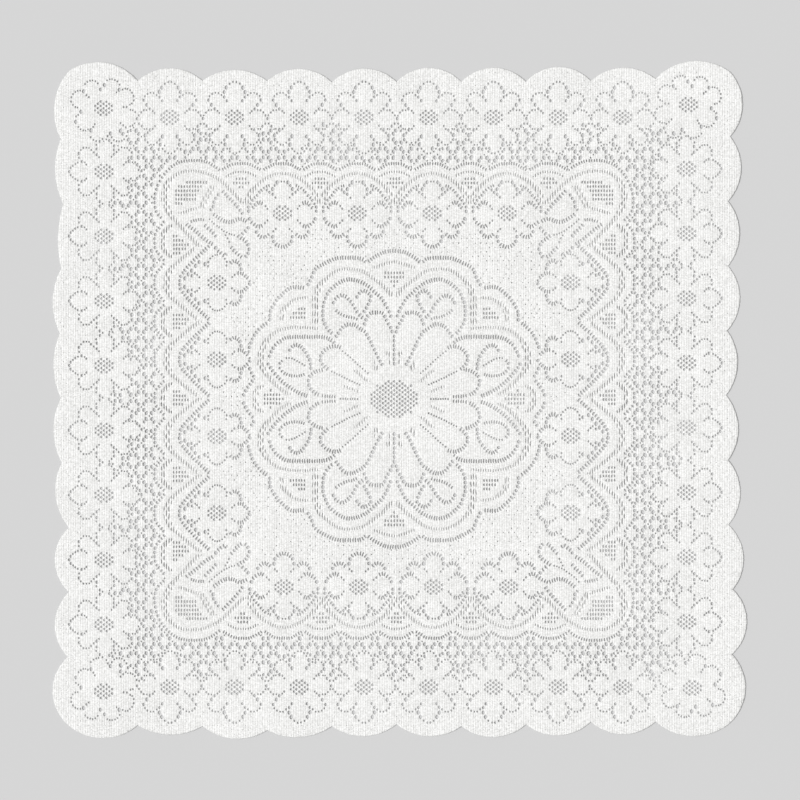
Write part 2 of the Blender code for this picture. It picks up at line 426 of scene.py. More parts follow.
# A border flower on an upright side: towards the edge (across below 0) and the net (above 0)
UPRIGHT_FLOWER = (
    {
        "name": "edge side", "kind": "pin",
        "across": (-21.7, -32.4, -35.5, -38.4, -31.0, -25.4, -15.9, -12.6, -6.3, -9.6, -1.9),
        "away": (8.6, 11.1, 9.4, 6.9, 16.8, 29.2, 26.5, 23.4, 17.7, 32.6, 40.3),
    },
    {
        "name": "edge side", "kind": "pinhole",
        "across": (-24.0, -28.6, -21.9, -18.7), "away": (10.9, 26.4, 29.3, 29.0),
    },
    {
        "name": "edge side", "kind": "round",
        "across": (-27.4, -41.1, -42.9, -31.0, -9.0, -9.1, -5.2),
        "away": (12.0, 4.4, 0.0, 22.4, 20.6, 27.7, 37.2),
    },
    {
        "name": "net side", "kind": "pin",
        "across": (9.1, 9.1, 15.4, 18.1, 21.6, 28.3, 30.8, 26.9, 24.1, 38.2),
        "away": (18.0, 35.2, 23.7, 26.7, 29.6, 29.0, 26.2, 11.2, 8.6, 11.3),
    },
    {"name": "net side", "kind": "pinhole", "across": (24.9, 35.0), "away": (29.3, 11.3)},
    {
        "name": "net side", "kind": "round",
        "across": (12.2, 12.1, 12.3, 6.4, 34.5, 44.0, 46.2),
        "away": (21.3, 26.6, 31.6, 38.0, 23.4, 5.7, 1.0),
    },
    {"name": "net side", "kind": "hole", "across": (34.0, 30.8, 40.8), "away": (17.1, 12.6, 8.4)},
)
# A corner's flower, mirrored from corner to corner. A heading of 0 degrees faces across to the
# middle of the cloth, and 90 the front or back edge. Of each petal: how far out its tip is, half
# its width, and how deep its round end is. Of each notch between petals: how far out its gaps are.
CORNER_PETALS = (
    {"heading": 26, "tip": 40.0, "half": 10.5, "depth": 7.5},
    {"heading": 69, "tip": 37.4, "half": 9.5, "depth": 7.0},
    {"heading": 121, "tip": 38.0, "half": 9.5, "depth": 7.5},
    {"heading": 160, "tip": 42.0, "half": 10.5, "depth": 9.0},
    {"heading": 214, "tip": 38.8, "half": 11.0, "depth": 7.0},
    {"heading": 260, "tip": 41.5, "half": 11.0, "depth": 7.5},
    {"heading": 301, "tip": 46.0, "half": 10.0, "depth": 9.0},
    {"heading": 339, "tip": 43.0, "half": 10.5, "depth": 9.0},
)
CORNER_NOTCHES = (
    {"heading": 50, "kind": "hole", "reach": (29.5,)},
    {"heading": 51, "kind": "pinhole", "reach": (25.2,)},
    {"heading": 88, "kind": "hole", "reach": (28.5,)},
    {"heading": 100, "kind": "hole", "reach": (23.3,)},
    {"heading": 140, "kind": "hole", "reach": (32.6,)},
    {"heading": 143, "kind": "pin", "reach": (23.0, 26.7)},
    {"heading": 189, "kind": "hole", "reach": (28.4,)},
    {"heading": 206, "kind": "hole", "reach": (38.5,)},
    {"heading": 240, "kind": "hole", "reach": (31.4,)},
    {"heading": 241, "kind": "pin", "reach": (22.5, 26.2)},
    {"heading": 285, "kind": "hole", "reach": (32.1,)},
    {"heading": 316, "kind": "round", "reach": (41.7,)},
    {"heading": 319, "kind": "pin", "reach": (27.7, 31.9, 36.1)},
    {"heading": 3, "kind": "pin", "reach": (24.7, 28.5)},
)
# How many degrees a petal's round end is drawn to each side of its tip, and in how many steps
PETAL_BEND = 115.0
PETAL_STEPS = 14


def disc(x, y, half_width, half_height):
    """Staggered pinholes inside an ellipse."""
    lines = int(half_height / DISC_LINE)
    columns = int(half_width / DISC_PITCH) + 1
    for j in range(-lines, lines + 1):
        offset = DISC_PITCH / 2 if j % 2 else 0.0
        for i in range(-columns, columns + 1):
            dx, dy = i * DISC_PITCH + offset, j * DISC_LINE
            if (dx / half_width) ** 2 + (dy / half_height) ** 2 <= 1:
                add_gap(x + dx, y + dy, *DISC_PIN, least=DISC_LEAST)


def mirrored(row, x, y, across, away):
    """A table's points, given from a middle, mirrored into one of the four quarters round it."""
    return [(x + across * dx, y + away * dy) for dx, dy in zip(row["across"], row["away"])]


def single_gap(kind, x, y):
    """A gap that stands alone in a flower."""
    add_gap(x, y, *SINGLE_GAPS[kind], sides=LARGE_SIDES, least=CHART_LEAST)


def chart(entries, x, y, ways):
    """Opens the charted gaps round a middle, once for each way of mirroring them."""
    for entry in entries:
        for across, away in ways:
            points = mirrored(entry, x, y, across, away)
            if entry.get("row"):
                row_of_gaps(points, entry["kind"])
                continue
            for point in points:
                single_gap(entry["kind"], *point)


def corner_flower(x, y, across, away):
    """A corner's flower: the gaps in its notches, then a round line of pins for each petal."""
    for notch in CORNER_NOTCHES:
        for reach in notch["reach"]:
            dx, dy = turned(reach, 0, notch["heading"])
            single_gap(notch["kind"], x + across * dx, y + away * dy)
    for petal in CORNER_PETALS:
        line = []
        for step in range(PETAL_STEPS + 1):
            bend = math.radians(PETAL_BEND * (2 * step / PETAL_STEPS - 1))
            out = petal["tip"] - petal["depth"] * (1 - math.cos(bend))
            dx, dy = turned(out, petal["half"] * math.sin(bend), petal["heading"])
            line.append((x + across * dx, y + away * dy))
        row_of_gaps(line, "pin")


# The border: ten flowers a side, one behind each scallop, petal tip to petal tip.

border_flowers = []
for side in SIDES.values():
    first = side["shift"] - FLOWER_PITCH * (FLOWERS_BETWEEN_CORNERS - 1) / 2
    for i in range(FLOWERS_BETWEEN_CORNERS):
        x, y = turned(first + FLOWER_PITCH * i, side["row"], side["turn"])
        border_flowers.append({"x": x, "y": y, "turn": 0.0})
        if side["turn"] % 180 == 0:
            outward = 1 if y > 0 else -1
            chart(LEVEL_FLOWER, x, y, ((1, outward), (-1, outward)))
        else:
            outward = 1 if x < 0 else -1
            chart(UPRIGHT_FLOWER, x, y, ((outward, 1), (outward, -1)))
        disc(x, y, *DISC_SIZE)
for corner in CORNERS:
    x, y = corner["flower"]
    border_flowers.append({"x": x, "y": y, "turn": 180 / PETALS})
    corner_flower(x, y, 1 if x < 0 else -1, 1 if y > 0 else -1)
    disc(x, y, *DISC_SIZE)


# The frame. On each side nine low arcs, five over small fans of mesh and four over flowers,
# with a sheer band that swings from flower to flower, and in each corner a block of mesh and a
# spray of leaves.

# Each side: which way is out in degrees, how far out the notches of its outer row lie, how high
# its arcs stand on them, where its middle is, how much its arcs are stretched along it, how far
# out its flowers stand and how far apart, and how far out the sheer band has its cusps and tops
FRAME_SIDES = (
    {
        "turn": 0, "notch": 283.4, "arc": 9.0, "middle": -2.3, "stretch": 1.0,
        "flowers": 231.2, "pitch": 92.2, "cusp": 243.9, "top": 280.3,
    },
    {
        "turn": -90, "notch": 278.4, "arc": 14.5, "middle": -4.3, "stretch": 1.02,
        "flowers": 214.4, "pitch": 94.6, "cusp": 237.8, "top": 277.2,
    },
    {
        "turn": 180, "notch": 282.7, "arc": 9.5, "middle": 0.5, "stretch": 1.0,
        "flowers": 229.2, "pitch": 92.2, "cusp": 241.8, "top": 278.8,
    },
    {
        "turn": 90, "notch": 284.0, "arc": 14.0, "middle": 3.8, "stretch": 1.02,
        "flowers": 221.4, "pitch": 94.6, "cusp": 243.9, "top": 283.4,
    },
)
# Where along a side the notches of its outer row lie, how far an arch keeps clear of its notches,
# and how far along an upright side the fans by the corners begin
NOTCHES = (-214.8, -163.9, -114.4, -70.2, -22.5, 22.5, 70.2, 114.4, 163.9, 214.8)
NOTCH_ROOM = 1.0
NEAR_CORNER = 150.0
INNER_FLOWERS_A_SIDE = 4
# The frame's middle, and the ways into its quarters, clockwise from the one at the back right
FRAME_MIDDLE = (-3.1, 0.7)
QUARTERS = ((1, 1), (1, -1), (-1, -1), (-1, 1))

# Half of an arch: how far along it, and how high it stands there, as shares of the whole
ROUND_ARCH = ((0.0, 1.0), (0.4, 0.93), (0.72, 0.5), (1.0, 0.1))
BAND_ARCH = {
    "level": ((0.0, 1.0), (0.25, 0.95), (0.5, 0.8), (0.7, 0.6), (0.85, 0.38), (1.0, 0.0)),
    "upright": ((0.0, 1.0), (0.2, 0.97), (0.4, 0.83), (0.6, 0.58), (0.8, 0.29), (1.0, 0.0)),
}
FAN_ARCH = ((0.0, 1.0), (0.4, 0.9), (0.75, 0.5), (1.0, 0.0))
# The fans of mesh: how far along the side from their middle and how far out from their top the
# corners lie, how far in from the sheer band's top that is, the small sheer arc over each, and how
# far that arc's band reaches and how wide its slits are
FANS = {
    "level": {
        "along": (-7.4, 7.4, 7.4, 11.1, 11.1, 3.7, 3.7, -3.7, -3.7, -11.1, -11.1, -7.4),
        "out": (0.0, 0.0, -5.2, -5.2, -10.4, -10.4, -15.6, -15.6, -10.4, -10.4, -5.2, -5.2),
        "in": 4.0, "arc": {"half": 17.5, "foot": 0.5, "top": 6.0}, "band": NARROW_BAND, "slit": 0.8,
    },
    "upright": {
        "along": (-10.4, 10.4, 10.4, 5.2, 5.2, 0.0, 0.0, -5.2, -5.2, -10.4),
        "out": (0.0, 0.0, -14.0, -14.0, -21.0, -21.0, -17.5, -17.5, -10.5, -10.5),
        "in": 7.0, "arc": {"half": 17.5, "foot": 3.0, "top": 12.5}, "band": (3.8, 2.7), "slit": 1.15,
    },
    "upright, by a corner": {
        "along": (8.6, -17.6, -17.6, -12.4, -12.4, -7.1, -7.1, -1.9, -1.9, 3.4, 3.4, 8.6),
        "out": (0.0, 0.0, -10.5, -10.5, -17.5, -17.5, -21.0, -21.0, -14.0, -14.0, -7.0, -7.0),
        "in": 7.0, "arc": {"half": 19.0, "foot": 3.0, "top": 12.5}, "band": (3.8, 2.7), "slit": 1.15,
    },
}

# The corner's rows, from the frame's middle: the outer row, the sheer band, the block of mesh
CORNER_ARC = {
    "across": (213.8, 223.6, 233.5, 247.0, 260.6, 270.4, 277.8, 286.4, 292.6, 295.1, 292.6, 282.7),
    "away": (282.6, 290.0, 294.3, 295.6, 294.3, 290.3, 284.5, 274.0, 260.4, 245.7, 232.1, 221.0),
}
CORNER_BAND = {
    "across": (
        186.6, 201.4, 215.0, 227.3, 239.6, 254.4, 264.3, 274.1,
        279.0, 282.1, 282.7, 281.5, 276.6, 270.4, 255.6, 240.9,
    ),
    "away": (
        243.2, 259.2, 271.5, 278.3, 282.0, 282.3, 280.2, 274.0,
        267.8, 259.2, 250.6, 240.7, 230.9, 222.3, 206.2, 190.2,
    ),
}
CORNER_MESH = {
    "across": (
        257.1, 229.7, 229.7, 236.4, 236.4, 239.8, 239.8, 243.2,
        243.2, 260.2, 260.2, 270.4, 270.4, 267.0, 267.0, 257.1,
    ),
    "away": (
        271.3, 271.3, 266.0, 266.0, 260.8, 260.8, 255.6, 255.6,
        245.1, 245.1, 239.9, 239.9, 260.8, 260.8, 266.0, 266.0,
    ),
}

# The spray of leaves in a corner, from the frame's middle
SPRAY_ROWS = (
    {
        "name": "upper leaf, blunt end", "kind": "round",
        "across": (215.3, 220.1, 222.7, 223.0, 227.0), "away": (255.4, 248.1, 242.6, 238.0, 233.8),
    },
    {
        "name": "upper leaf, outer side", "kind": "slot",
        "across": (212.4, 205.7, 199.6, 193.4, 188.8, 185.7),
        "away": (259.2, 252.3, 246.1, 239.2, 233.0, 228.7),
    },
    {
        "name": "upper leaf, inner side", "kind": "slot",
        "across": (223.5, 218.8, 213.4, 208.8, 203.9, 198.8, 194.7, 189.6, 185.0, 181.1),
        "away": (230.3, 226.6, 223.0, 220.7, 219.8, 220.4, 222.3, 223.8, 222.3, 220.4),
    },
    {
        "name": "right leaf, end", "kind": "slot",
        "across": (178.6, 181.1, 185.0, 188.0), "away": (215.3, 210.7, 206.9, 203.8),
    },
    {
        "name": "lower leaf, outer side", "kind": "slot",
        "across": (256.9, 250.4, 244.2, 238.1, 231.9, 225.8, 222.7),
        "away": (217.9, 213.0, 208.4, 203.0, 197.6, 193.8, 191.9),
    },
    {
        "name": "lower leaf, upper side", "kind": "fine slot",
        "across": (251.5, 246.5, 242.0, 237.6, 233.8), "away": (219.8, 221.4, 222.4, 222.9, 222.3),
    },
    {
        "name": "lower leaf, inner side", "kind": "slot",
        "across": (233.8, 229.6, 225.0, 221.1, 218.4), "away": (217.6, 212.7, 208.4, 204.5, 200.4),
    },
    {
        "name": "stem", "kind": "pinhole",
        "across": (229.2, 224.2, 218.8, 213.4, 209.6, 205.0, 199.6, 195.7),
        "away": (224.9, 219.9, 215.3, 211.5, 208.4, 206.4, 204.1, 203.5),
    },
    {
        "name": "side stem", "kind": "pin",
        "across": (209.1, 206.5, 204.2, 202.7), "away": (205.6, 201.5, 197.3, 193.0),
    },
    {
        "name": "middle leaflet, end", "kind": "slot",
        "across": (220.7, 218.4, 214.2, 209.6, 205.7), "away": (190.7, 185.8, 182.2, 178.5, 181.4),
    },
    {
        "name": "last leaflet, side by the stem", "kind": "slot",
        "across": (201.9, 198.8, 195.7, 191.6, 187.3), "away": (189.9, 186.8, 183.0, 179.1, 176.1),
    },
    {
        "name": "last leaflet, other side", "kind": "slot",
        "across": (193.4, 188.8, 184.2, 180.6, 178.6, 178.9, 181.4, 184.2),
        "away": (203.8, 199.9, 197.3, 193.0, 188.4, 183.8, 179.1, 175.6),
    },
)
SPRAY_BANDS = (
    {
        "name": "stripe beside the mesh",
        "across": (223.5, 227.3, 231.2, 235.0, 237.3), "away": (263.8, 256.9, 250.7, 243.8, 237.7),
    },
    {
        "name": "stripe under the mesh",
        "across": (239.6, 245.8, 253.5, 262.0), "away": (237.7, 236.1, 233.8, 230.7),
    },
)

# The frame's flowers, each under its arch: on the level sides the arch is to the back, on the
# upright sides to the left
FRAME_FLOWERS = {
    "level": (
        {"name": "tip under the arch", "kind": "pinhole", "across": (1.7,), "away": (38.9,)},
        {"name": "beside the tip", "kind": "hole", "across": (6.7, 12.3), "away": (37.9, 29.7)},
        {"name": "beside the petal", "kind": "round", "across": (9.6, 12.2), "away": (34.3, 23.4)},
        {"name": "under the arch", "kind": "round", "across": (16.1, 19.1), "away": (25.9, 28.9)},
        {
            "name": "arch", "kind": "fine slot", "row": True,
            "across": (15.3, 20.8, 24.0, 27.2, 29.5, 32.0, 35.4, 38.9, 41.9, 41.6),
            "away": (34.4, 32.6, 29.8, 27.4, 24.5, 20.9, 17.9, 12.4, 7.2, 0.0),
        },
        {"name": "petal's foot", "kind": "pin", "across": (8.6,), "away": (19.4,)},
        {"name": "side foot", "kind": "pin", "across": (18.5, 21.0), "away": (5.6, 8.9)},
        {
            "name": "side petal", "kind": "slot", "row": True,
            "across": (23.6, 28.3, 31.5, 34.2, 37.4),
            "away": (11.6, 13.3, 12.4, 9.2, 5.8),
        },
        {"name": "lower foot", "kind": "pin", "across": (18.5, 21.6), "away": (-8.9, -12.0)},
        {
            "name": "side petal's field side", "kind": "slot", "row": True,
            "across": (23.8, 28.3, 32.0, 35.1, 38.9, 41.1),
            "away": (-14.6, -16.5, -15.6, -13.2, -10.1, -4.2),
        },
        {
            "name": "slanting petal", "kind": "slot", "row": True,
            "across": (15.6, 20.3, 24.0, 27.7, 30.8, 32.9),
            "away": (-24.8, -28.6, -29.4, -28.3, -25.5, -20.7),
        },
        {"name": "field foot", "kind": "pin", "across": (8.6, 11.4), "away": (-19.3, -22.2)},
        {
            "name": "field petal", "kind": "slot", "row": True,
            "across": (12.6, 11.8, 10.1, 6.2, 0.0),
            "away": (-26.0, -31.3, -36.1, -39.7, -41.9),
        },
    ),
    "upright": (
        {
            "name": "arch", "kind": "slot", "row": True,
            "across": (
                -8.6, -12.6, -16.3, -19.7, -23.0, -26.4, -29.6, -32.8, -36.2, -39.4, -42.9,
                -45.4, -45.8,
            ),
            "away": (45.8, 42.1, 38.9, 35.5, 32.6, 29.3, 25.9, 22.7, 19.0, 15.3, 10.5, 5.7, 0.0),
        },
        {
            "name": "under the arch", "kind": "hole",
            "across": (-22.0, -26.5, -31.0, -35.3, -39.6), "away": (25.6, 20.6, 15.0, 10.4, 5.2),
        },
        {"name": "beside the upright petal", "kind": "hole", "across": (-14.8,), "away": (22.8,)},
        {"name": "over the side petal", "kind": "pin", "across": (-20.1,), "away": (26.1,)},
        {"name": "side foot", "kind": "pin", "across": (-21.7, -24.6), "away": (6.7, 9.8)},
        {"name": "over the side foot", "kind": "round", "across": (-27.1, -31.0), "away": (11.6, 8.7)},
        {
            "name": "upright petal", "kind": "pin", "row": True,
            "across": (10.6, 12.4, 9.9, 6.7, 3.7, 0.0, -3.7, -6.9, -9.4, -11.0, -10.6),
            "away": (18.5, 24.6, 29.1, 32.0, 34.0, 34.6, 33.8, 31.3, 28.3, 24.1, 18.5),
        },
        {
            "name": "field petal, slanting", "kind": "slot", "row": True,
            "across": (15.6, 19.7, 24.0, 27.5, 29.8, 29.6), "away": (23.0, 26.4, 26.4, 23.7, 19.2, 14.4),
        },
        {"name": "field foot", "kind": "pin", "across": (18.7, 21.7), "away": (6.9, 9.6)},
        {
            "name": "field petal", "kind": "slot", "row": True,
            "across": (24.4, 31.8, 35.0, 38.2, 41.4),
            "away": (11.7, 11.1, 8.0, 5.2, 0.0),
        },
    ),
}

frame_outline = []
frame_flowers = []


def placed(points, side):
    """Points given along a side and out from the middle, as points on the cloth."""
    return [turned(side["middle"] + along, out, side["turn"]) for along, out in points]


def arch(middle, half, foot, top, shape):
    """Points along an arch, given along a side and out from the middle."""
    right = [(middle + half * along, foot + (top - foot) * up) for along, up in shape]
    return [(2 * middle - along, out) for along, out in right[:0:-1]] + right


for number, side in enumerate(FRAME_SIDES):
    across, away = QUARTERS[number]
    quarter = (*FRAME_MIDDLE, across, away)
    lie = "upright" if number % 2 else "level"
    for left, right in zip(NOTCHES, NOTCHES[1:]):
        middle = (left + right) / 2 * side["stretch"]
        half = (right - left) / 2 * side["stretch"] - NOTCH_ROOM
        line = arch(middle, half, side["notch"], side["notch"] + side["arc"], ROUND_ARCH)
        outer = placed(line, side)
        row_of_gaps(outer, "fine slot")
        frame_outline += outer
    corner = mirrored(CORNER_ARC, *quarter)
    row_of_gaps(corner, "fine slot")
    frame_outline += corner if across * away > 0 else corner[::-1]
    sheer_band(mirrored(CORNER_BAND, *quarter))
    mesh_patch(mirrored(CORNER_MESH, *quarter))
    for row in SPRAY_ROWS:
        row_of_gaps(mirrored(row, *quarter), row["kind"])
    for band in SPRAY_BANDS:
        sheer_band(mirrored(band, *quarter))
    half = side["pitch"] / 2 - NOTCH_ROOM
    for i in range(INNER_FLOWERS_A_SIDE):
        along = (i - (INNER_FLOWERS_A_SIDE - 1) / 2) * side["pitch"]
        x, y = turned(side["middle"] + along, side["flowers"], side["turn"])
        ways = ((-across, -1), (-across, 1)) if lie == "upright" else ((-1, away), (1, away))
        frame_flowers.append((x, y))
        chart(FRAME_FLOWERS[lie], x, y, ways)
        disc(x, y, *DISC_SIZE)
        sheer_band(placed(arch(along, half, side["cusp"], side["top"], BAND_ARCH[lie]), side))
    for left, right in zip(NOTCHES[::2], NOTCHES[1::2]):
        along = (left + right) / 2 * side["stretch"]
        by_corner = lie == "upright" and abs(along) > NEAR_CORNER
        fan = FANS["upright, by a corner" if by_corner else lie]
        fan_top = side["top"] - fan["in"]
        way = 1 if along > 0 else -1
        outline = [(along + way * dx, fan_top + dy) for dx, dy in zip(fan["along"], fan["out"])]
        mesh_patch(placed(outline, side))
        arc = fan["arc"]
        line = arch(along, arc["half"], fan_top + arc["foot"], fan_top + arc["top"], FAN_ARCH)
        sheer_band(placed(line, side), fan["band"], fan["slit"])


# The rosette in the middle: sixteen petals round a wide disc, inside a ring of lobes that hold
# pairs of leaves. The four quarters are mirror images, and so are a quarter's rows in the tables.

ROSETTE_MIDDLE = (-3.1, 2.5)
ROSETTE_DISC = (29.0, 23.4)
ROSETTE_ROWS = (
    {"name": "spoke on the middle line", "kind": "ladder", "across": (0.0, 0.0), "away": (80.0, 41.0)},
    {"name": "spoke to the side", "kind": "pin", "across": (67.9, 44.1), "away": (0.0, 0.0)},
    {
        "name": "first petal", "kind": "slot",
        "across": (2.0, 3.4, 6.3, 10.3, 12.9, 17.3, 25.2, 29.6, 33.2, 35.2, 37.5),
        "away": (80.0, 86.0, 91.6, 98.3, 104.3, 106.3, 106.3, 105.1, 100.9, 95.5, 90.0),
    },
    {
        "name": "second petal", "kind": "slot",
        "across": (13.3, 19.3, 24.2, 28.2, 32.8, 36.1, 42.7, 48.1, 55.0, 61.0, 66.0, 69.5, 72.9),
        "away": (39.9, 50.2, 60.2, 69.1, 78.1, 83.0, 87.0, 90.8, 92.0, 90.0, 85.0, 80.0, 75.7),
    },
    {
        "name": "diagonal valley", "kind": "pinhole",
        "across": (65.0, 57.0, 49.1, 41.1, 31.2), "away": (60.2, 53.8, 46.7, 39.3, 30.8),
    },
    {
        "name": "third petal", "kind": "slot",
        "across": (65.0, 72.9, 80.9, 87.2, 90.8, 89.8, 85.8, 80.9),
        "away": (63.1, 65.1, 63.1, 58.2, 51.8, 45.3, 40.3, 35.9),
    },
    {
        "name": "lower valley", "kind": "pin",
        "across": (78.5, 68.9, 57.0, 41.1), "away": (34.8, 30.0, 24.0, 16.9),
    },
    {
        "name": "fourth petal", "kind": "slot",
        "across": (80.9, 88.8, 96.8, 103.1, 105.7, 103.7, 98.7, 92.0),
        "away": (35.9, 35.9, 33.3, 28.8, 22.4, 14.5, 8.1, 4.6),
    },
    {"name": "fourth petal, tip", "kind": "fine slot", "across": (90.0, 71.9), "away": (3.8, 2.6)},
    {
        "name": "heart in the upper lobe", "kind": "slot",
        "across": (
            3.0, 4.8, 7.8, 11.3, 16.3, 23.2, 29.2, 36.1, 45.1, 55.0,
            63.0, 69.9, 76.9, 81.9, 84.8, 87.2, 87.8, 87.4, 84.8, 80.9, 75.9,
        ),
        "away": (
            99.5, 103.9, 110.9, 117.8, 124.8, 130.7, 136.7, 141.7, 145.6, 147.2,
            145.6, 141.7, 135.7, 129.7, 122.8, 115.8, 107.9, 97.9, 91.0, 85.0, 80.0,
        ),
    },
    {
        "name": "outer leaf of the upper pair, far side", "kind": "slot",
        "across": (75.3, 73.9, 69.9, 65.0, 60.0, 55.0, 50.7, 47.1, 42.7, 38.1),
        "away": (115.8, 120.8, 125.3, 127.7, 126.1, 121.8, 116.2, 109.8, 103.5, 99.5),
    },
    {
        "name": "outer leaf of the upper pair, near side", "kind": "fine slot",
        "across": (72.9, 68.9, 64.0, 57.0, 51.4, 45.1), "away": (110.8, 106.9, 103.9, 100.9, 100.3, 97.9),
    },
    {
        "name": "inner leaf of the upper pair", "kind": "slot",
        "across": (46.5, 44.1, 38.1, 31.6, 28.2, 31.6, 34.8, 38.1),
        "away": (122.8, 128.7, 133.3, 130.7, 125.3, 116.8, 110.8, 105.5),
    },
    {
        "name": "heart in the side lobe, far side", "kind": "slot",
        "across": (154.4, 151.4, 146.4, 139.5, 131.5, 118.6, 104.7, 92.8, 84.8, 77.9, 72.9),
        "away": (50.2, 58.2, 66.1, 72.1, 75.7, 76.5, 76.5, 76.5, 75.7, 73.1, 68.5),
    },
    {
        "name": "heart in the side lobe, near side", "kind": "slot",
        "across": (156.4, 152.4, 145.4, 136.5, 126.6, 115.6, 106.5),
        "away": (45.3, 38.3, 29.4, 20.4, 12.9, 6.5, 3.6),
    },
    {
        "name": "outer leaf of the side pair", "kind": "slot",
        "across": (129.5, 126.6, 120.6, 114.6, 109.7, 104.7, 102.7, 102.3),
        "away": (57.2, 63.7, 66.5, 64.1, 58.2, 50.2, 42.3, 35.3),
    },
    {
        "name": "inner leaf of the side pair", "kind": "fine slot",
        "across": (136.5, 141.5, 139.5, 133.5, 124.6, 115.6, 109.7),
        "away": (48.6, 42.3, 35.9, 30.8, 28.4, 28.8, 30.8),
    },
    {
        "name": "between the side pair", "kind": "pin",
        "across": (134.5, 127.6, 120.6, 114.6, 108.7), "away": (50.2, 50.2, 47.3, 43.9, 40.3),
    },
    {
        "name": "small lobe on the middle line", "kind": "slot",
        "across": (0.0, 12.0, 24.6, 32.6), "away": (182.5, 181.0, 174.5, 168.6),
    },
    {
        "name": "upper lobe", "kind": "slot",
        "across": (34.0, 41.3, 57.0, 72.1, 84.4, 96.7, 101.6, 107.2),
        "away": (168.0, 173.0, 174.0, 173.0, 167.6, 160.2, 149.1, 138.6),
    },
    {
        "name": "small lobe on the diagonal", "kind": "slot",
        "across": (110.3, 126.3, 139.2, 146.0, 152.2, 153.4),
        "away": (137.0, 137.4, 127.5, 119.5, 108.4, 94.9),
    },
    {
        "name": "side lobe", "kind": "slot",
        "across": (156.0, 163.2, 173.1, 179.3, 178.0, 171.9), "away": (94.0, 88.7, 76.4, 57.9, 38.2, 25.9),
    },
    {
        "name": "small lobe on the side", "kind": "slot",
        "across": (173.0, 182.0, 186.6),
        "away": (24.0, 12.0, 2.5),
    },
)
ROSETTE_BANDS = (
    {
        "name": "inside the upper lobe",
        "across": (
            4.2, 8.3, 15.8, 25.2, 35.2, 45.1, 55.0, 65.0, 74.9, 84.8, 91.8, 95.8, 97.7, 97.7, 97.7,
        ),
        "away": (
            127.0, 133.7, 141.0, 147.6, 155.5, 159.1, 160.3, 159.5,
            155.5, 147.6, 139.7, 129.7, 119.8, 105.9, 93.9,
        ),
    },
    {
        "name": "inside the side lobe",
        "across": (
            96.8, 108.7, 124.6, 138.5, 148.4, 156.4, 161.3, 165.3, 165.3, 161.3, 156.4, 148.4, 140.5, 130.5,
        ),
        "away": (
            87.0, 88.0, 88.0, 85.6, 81.0, 73.1, 64.1, 54.2, 45.3, 37.3, 29.4, 20.4, 12.5, 6.1,
        ),
    },
    {"name": "over the top fan", "across": (23.0, 11.5, 0.0), "away": (162.0, 166.5, 169.0)},
    {
        "name": "over the diagonal fan",
        "across": (138.9, 138.5, 134.5, 128.5, 120.6, 110.3),
        "away": (97.9, 105.9, 112.8, 118.8, 123.4, 124.7),
    },
    {"name": "over the side fan", "across": (164.3, 169.3, 171.9, 172.3), "away": (15.5, 10.5, 4.5, 0.0)},
    {"name": "first petal's foot", "across": (7.5, 5.5), "away": (58.0, 43.0), "reach": NARROW_BAND},
    {"name": "second petal's foot", "across": (24.5, 22.0), "away": (46.5, 35.5), "reach": NARROW_BAND},
    {"name": "third petal's foot", "across": (46.5, 33.5), "away": (34.5, 22.0), "reach": (3.6, 2.4)},
    {"name": "fourth petal's foot", "across": (60.0, 46.0), "away": (15.5, 9.0), "reach": (3.6, 2.4)},
)
# The fans of mesh in the small lobes, as outlines of one side or of one quarter
ROSETTE_FANS = (
    {
        "name": "top",
        "across": (-13.0, 13.0, 13.0, 5.6, 5.6, 1.9, 1.9, -1.9, -1.9, -5.6, -5.6, -13.0),
        "away": (157.9, 157.9, 147.3, 147.3, 142.0, 142.0, 136.7, 136.7, 142.0, 142.0, 147.3, 147.3),
    },
    {
        "name": "diagonal",
        "across": (108.8, 119.0, 119.0, 125.8, 125.8, 129.2, 129.2, 108.8),
        "away": (113.6, 113.6, 108.3, 108.3, 103.0, 103.0, 97.7, 97.7),
    },
    {
        "name": "side",
        "across": (
            154.5, 154.5, 161.5, 161.5, 154.5, 154.5, 150.5, 150.5, 145.0, 135.5, 135.5, 145.0,
            150.5, 150.5,
        ),
        "away": (13.2, 8.0, 8.0, -8.0, -8.0, -13.2, -13.2, -8.0, -8.0, -2.6, 2.6, 8.0, 8.0, 13.2),
    },
)
for row in ROSETTE_ROWS:
    for across in (-1, 1):
        for away in (-1, 1):
            row_of_gaps(mirrored(row, *ROSETTE_MIDDLE, across, away), row["kind"])
for across in (-1, 1):
    for away in (-1, 1):
        for band in ROSETTE_BANDS:
            line = mirrored(band, *ROSETTE_MIDDLE, across, away)
            sheer_band(line, band.get("reach", WIDE_BAND))
        for fan in ROSETTE_FANS:
            mesh_patch(mirrored(fan, *ROSETTE_MIDDLE, across, away))
disc(*ROSETTE_MIDDLE, *ROSETTE_DISC)


# The net between the border and the frame: a lattice of small dense spots, each inside a ring
# of eight large gaps that it shares with its neighbours.

# How far apart its spots are in a line and its lines are, where one of the spots is, and which
# columns and lines are laid, counted from there
NET_ACROSS = 19.2
NET_ALONG = 11.1
NET_START = (-314.6, 3.7)
NET_COLUMNS = range(-20, 40)
NET_LINES = range(-34, 35)
# A ring's gaps: their size, how they lean in radians, and how far across and up from the spot the
# upper two on a side are. The lower ones are upper ones of its neighbours. Halfway between two
# spots, one above the other, there is a pin.
NET_GAP = (4.2, 5.6)
NET_LEAN = 0.45
NET_RING = ((3.3, 7.45), (6.3, 3.65))
NET_PIN = (1.9, 2.2)
# How far the net keeps inside the rows of border flowers, and how far it keeps from a flower's
# outline, which it enters a little
NET_INSET = 8.0
NET_MARGIN = -1.5
# A flower's outline: how far out it is on average, and how much farther at a petal's tip
PETAL_REACH = 36.0
PETAL_SWELL = 5.5


